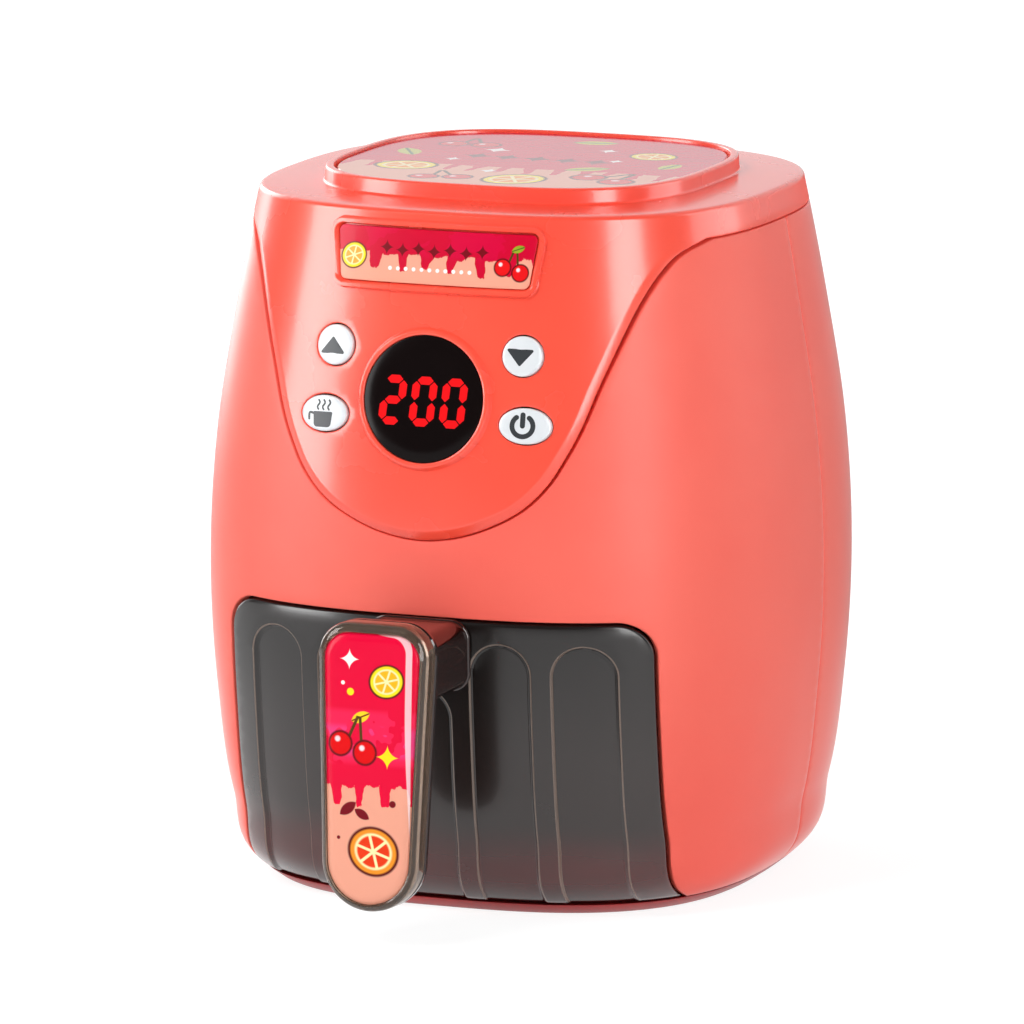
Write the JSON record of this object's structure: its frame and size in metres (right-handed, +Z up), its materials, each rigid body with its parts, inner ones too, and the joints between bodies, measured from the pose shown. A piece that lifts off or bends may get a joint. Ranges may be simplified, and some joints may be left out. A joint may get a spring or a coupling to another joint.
{
  "type": "toy air fryer",
  "caption": "Child's toy air fryer: a rounded coral barrel with a domed control panel, push buttons, and a smoke drawer on a handle that slides out with a lift-out tray.",
  "frame": {"origin": "on the floor, at the barrel's axis", "axes": "+Z up, -Y the way the front and the handle face, +X to the viewer's right seen from the front"},
  "size_m": [0.1528, 0.1883, 0.18],
  "materials": {
    "coral": "satin moulded coral plastic",
    "gloss_coral": "glossy coral plastic",
    "dark_red": "dark red moulded plastic",
    "label_card": "printed label, crimson over peach with a wavy border",
    "plate_card": "printed plate, crimson over peach with a wavy border",
    "smoke": "glossy smoke plastic",
    "clear": "clear smoke plastic",
    "dark_plastic": "dark grey plastic",
    "display_black": "tinted gloss window",
    "display_red": "red light guide",
    "button_white": "white cap with a dark grey printed sign",
    "pad_rubber": "grey rubber",
    "board_green": "green circuit board",
    "module_white": "ivory plastic",
    "steel": "plated steel",
    "cell": "metal can in a plain green sleeve",
    "speaker_black": "black plastic basket",
    "frosted": "frosted lens",
    "wire_red": "insulated wire",
    "wire_black": "insulated wire"
  },
  "bodies": {
    "housing": {"front_shell": "coral", "rear_shell": "coral", "top_cover": "gloss_coral", "base_plate": "dark_red", "top_label": "label_card", "name_plate": "plate_card", "drawer_chamber": "dark_plastic", "display_mask": "dark_plastic", "display_lens": "display_black", "display_digits": "display_red", "control_board": "board_green", "light_board": "board_green", "display_module": "module_white", "battery_box": "module_white", "board_screw_1": "steel", "board_screw_2": "steel", "board_screw_3": "steel", "board_screw_4": "steel", "base_screw_1": "steel", "base_screw_2": "steel", "base_screw_3": "steel", "base_screw_4": "steel", "shell_screw_1": "steel", "shell_screw_2": "steel", "shell_screw_3": "steel", "shell_screw_4": "steel", "battery_contact_1": "steel", "battery_contact_2": "steel", "battery_contact_3": "steel", "battery_contact_4": "steel", "battery_cell_1": "cell", "battery_cell_2": "cell", "battery_cell_3": "cell", "speaker": "speaker_black", "light_lens": "frosted", "battery_wire_red": "wire_red", "battery_wire_black": "wire_black", "speaker_wire": "wire_black", "light_wire": "wire_black"},
    "drawer": {"drawer_front": "smoke", "drawer_pan": "dark_plastic", "pan_screw_1": "steel", "pan_screw_2": "steel", "handle_shell": "clear", "handle_back": "clear", "handle_label": "label_card", "handle_screw_1": "steel", "handle_screw_2": "steel"},
    "tray": {"crisper_tray": "dark_plastic"},
    "battery_door": {"battery_door": "coral", "battery_door_screw": "steel"},
    "key_up": {"button_up": "button_white", "switch_pad_up": "pad_rubber"},
    "key_down": {"button_down": "button_white", "switch_pad_down": "pad_rubber"},
    "key_steam": {"button_steam": "button_white", "switch_pad_steam": "pad_rubber"},
    "key_power": {"button_power": "button_white", "switch_pad_power": "pad_rubber"}
  },
  "joints": [
    {"name": "drawer_slide", "type": "slide", "parent": "housing", "child": "drawer", "axis": [0, -1, 0], "range_m": [0, 0.085]},
    {"name": "tray_lift", "type": "slide", "parent": "drawer", "child": "tray", "axis": [0, 0, 1], "range_m": [0, 0.04]},
    {"name": "battery_door_hinge", "type": "hinge", "parent": "housing", "child": "battery_door", "pos_m": [0, 0.0764, 0.084], "axis": [-1, 0, 0], "range_deg": [0, 80]},
    {"name": "up_press", "type": "slide", "parent": "housing", "child": "key_up", "axis": [0, 0.9851, -0.1718], "range_m": [0, 0.0012], "stiffness_N_per_m": 400},
    {"name": "down_press", "type": "slide", "parent": "housing", "child": "key_down", "axis": [0, 0.9851, -0.1718], "range_m": [0, 0.0012], "stiffness_N_per_m": 400},
    {"name": "steam_press", "type": "slide", "parent": "housing", "child": "key_steam", "axis": [0, 0.9851, -0.1718], "range_m": [0, 0.0012], "stiffness_N_per_m": 400},
    {"name": "power_press", "type": "slide", "parent": "housing", "child": "key_power", "axis": [0, 0.9851, -0.1718], "range_m": [0, 0.0012], "stiffness_N_per_m": 400}
  ]
}
